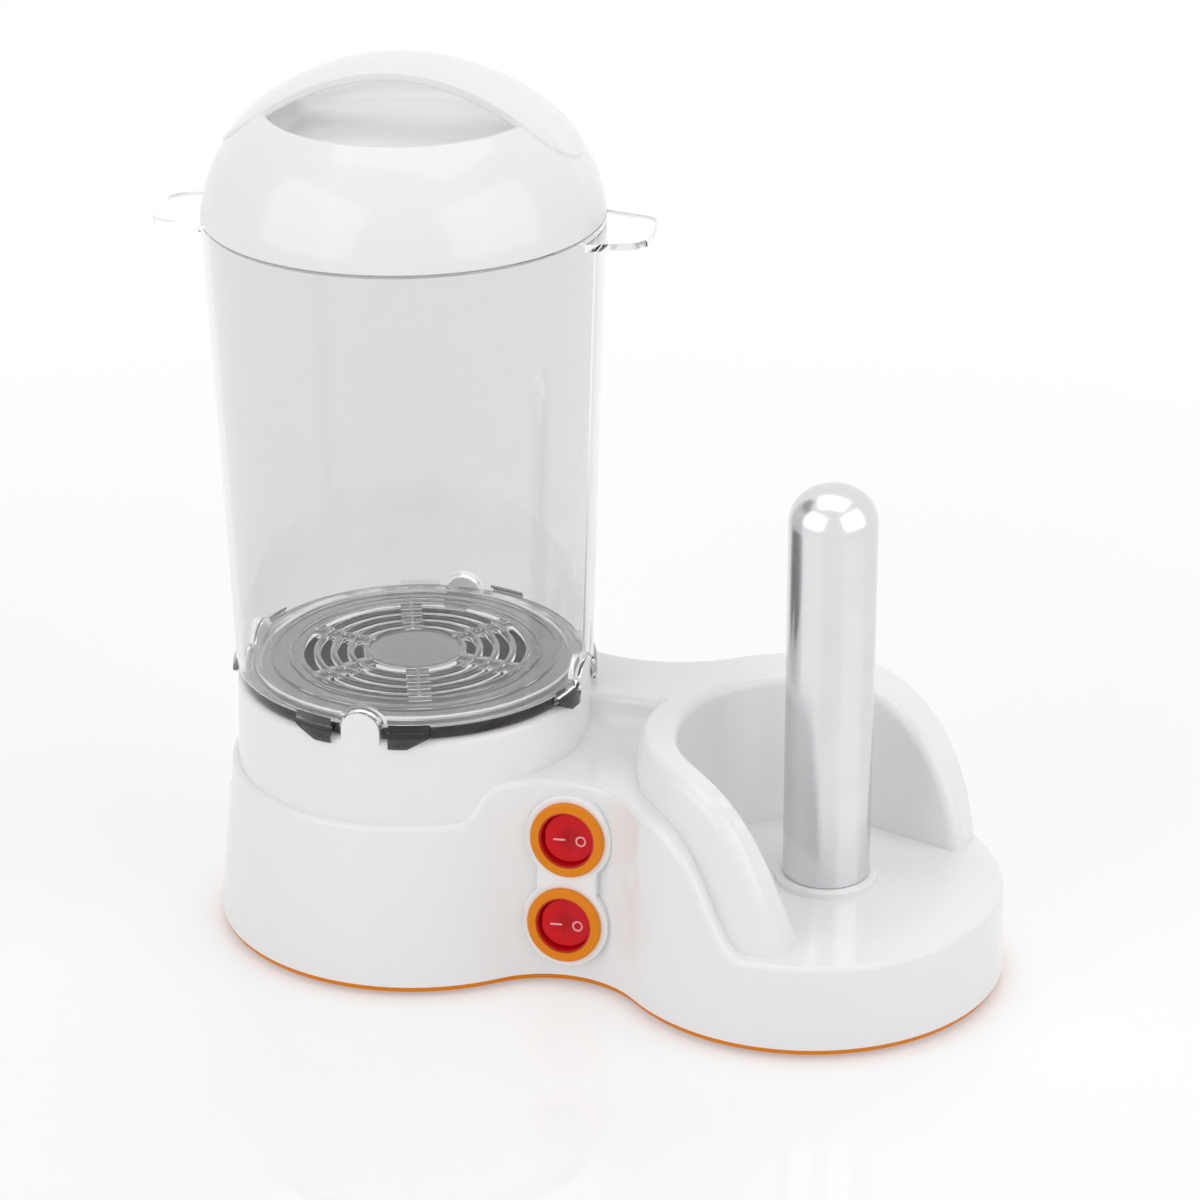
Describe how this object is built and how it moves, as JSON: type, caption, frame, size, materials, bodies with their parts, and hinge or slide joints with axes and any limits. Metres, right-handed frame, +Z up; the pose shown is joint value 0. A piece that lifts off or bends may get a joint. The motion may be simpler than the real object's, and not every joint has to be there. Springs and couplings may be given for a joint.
{
  "type": "hot dog maker",
  "caption": "Peanut-shaped base with a clear lidded steam chamber on a heated water plate, a heated metal bun spike in a bay, and round rocker switches on the front.",
  "frame": {"origin": "on the table under the centre of the bounding box", "axes": "+X from the steam chamber to the bun spike, +Y to the back, the switches face -Y, +Z up"},
  "size_m": [0.3067, 0.1474, 0.3227],
  "materials": {
    "white_plastic": "glossy moulded",
    "orange_plastic": "glossy moulded",
    "orange_rubber": "matte",
    "clear_plastic": "clear moulded",
    "red_plastic": "glossy, clear red",
    "nonstick_coat": "satin non-stick on cast aluminium",
    "polished_aluminium": "smooth satin",
    "grey_silicone": "matte",
    "zinc_steel": "zinc plated",
    "sheath_steel": "drawn tube",
    "dark_plastic": "matte moulded",
    "pale_plastic": "matte moulded",
    "mica_board": "pressed mica",
    "brass_blades": "stamped",
    "lamp_glass": "clear"
  },
  "bodies": {
    "base": {"main_housing": "white_plastic", "spike_collar": "white_plastic", "base_plate": "orange_plastic", "upper_switch_bezel": "orange_plastic", "lower_switch_bezel": "orange_plastic", "feet": "orange_rubber", "heating_plate": "nonstick_coat", "spike_tube": "polished_aluminium", "plate_gasket": "grey_silicone", "cord_bushing": "grey_silicone", "plate_clamp": "zinc_steel", "plate_nuts": "zinc_steel", "base_screws": "zinc_steel", "spike_clamp": "zinc_steel", "spike_clamp_screws": "zinc_steel", "cord_clamp_screws": "zinc_steel", "terminal_screws": "zinc_steel", "heater_element": "sheath_steel", "plate_thermostat": "dark_plastic", "spike_thermostat": "dark_plastic", "thermal_fuse": "sheath_steel", "spike_heater": "mica_board", "upper_switch_body": "dark_plastic", "lower_switch_body": "dark_plastic", "upper_switch_terminals": "brass_blades", "lower_switch_terminals": "brass_blades", "upper_switch_lamp": "lamp_glass", "lower_switch_lamp": "lamp_glass", "cord_clamp": "dark_plastic", "terminal_block": "pale_plastic"},
    "chamber": {"chamber": "clear_plastic"},
    "rack": {"sausage_rack": "clear_plastic"},
    "lid": {"lid": "white_plastic", "lid_handle": "white_plastic"},
    "upper_rocker_body": {"upper_rocker": "red_plastic"},
    "lower_rocker_body": {"lower_rocker": "red_plastic"}
  },
  "joints": [
    {"name": "chamber_lift", "type": "slide", "parent": "base", "child": "chamber", "axis": [0, 0, 1], "range_m": [0, 0.12]},
    {"name": "rack_lift", "type": "slide", "parent": "chamber", "child": "rack", "axis": [0, 0, 1], "range_m": [0, 0.17]},
    {"name": "lid_lift", "type": "slide", "parent": "chamber", "child": "lid", "axis": [0, 0, 1], "range_m": [0, 0.1]},
    {"name": "upper_rocker_turn", "type": "hinge", "parent": "base", "child": "upper_rocker_body", "pos_m": [0.00636, -0.03783, 0.05662], "axis": [0, -0.1288, -0.9917], "range_deg": [0, 14]},
    {"name": "lower_rocker_turn", "type": "hinge", "parent": "base", "child": "lower_rocker_body", "pos_m": [0.00636, -0.04194, 0.02498], "axis": [0, -0.1288, -0.9917], "range_deg": [0, 14]}
  ]
}
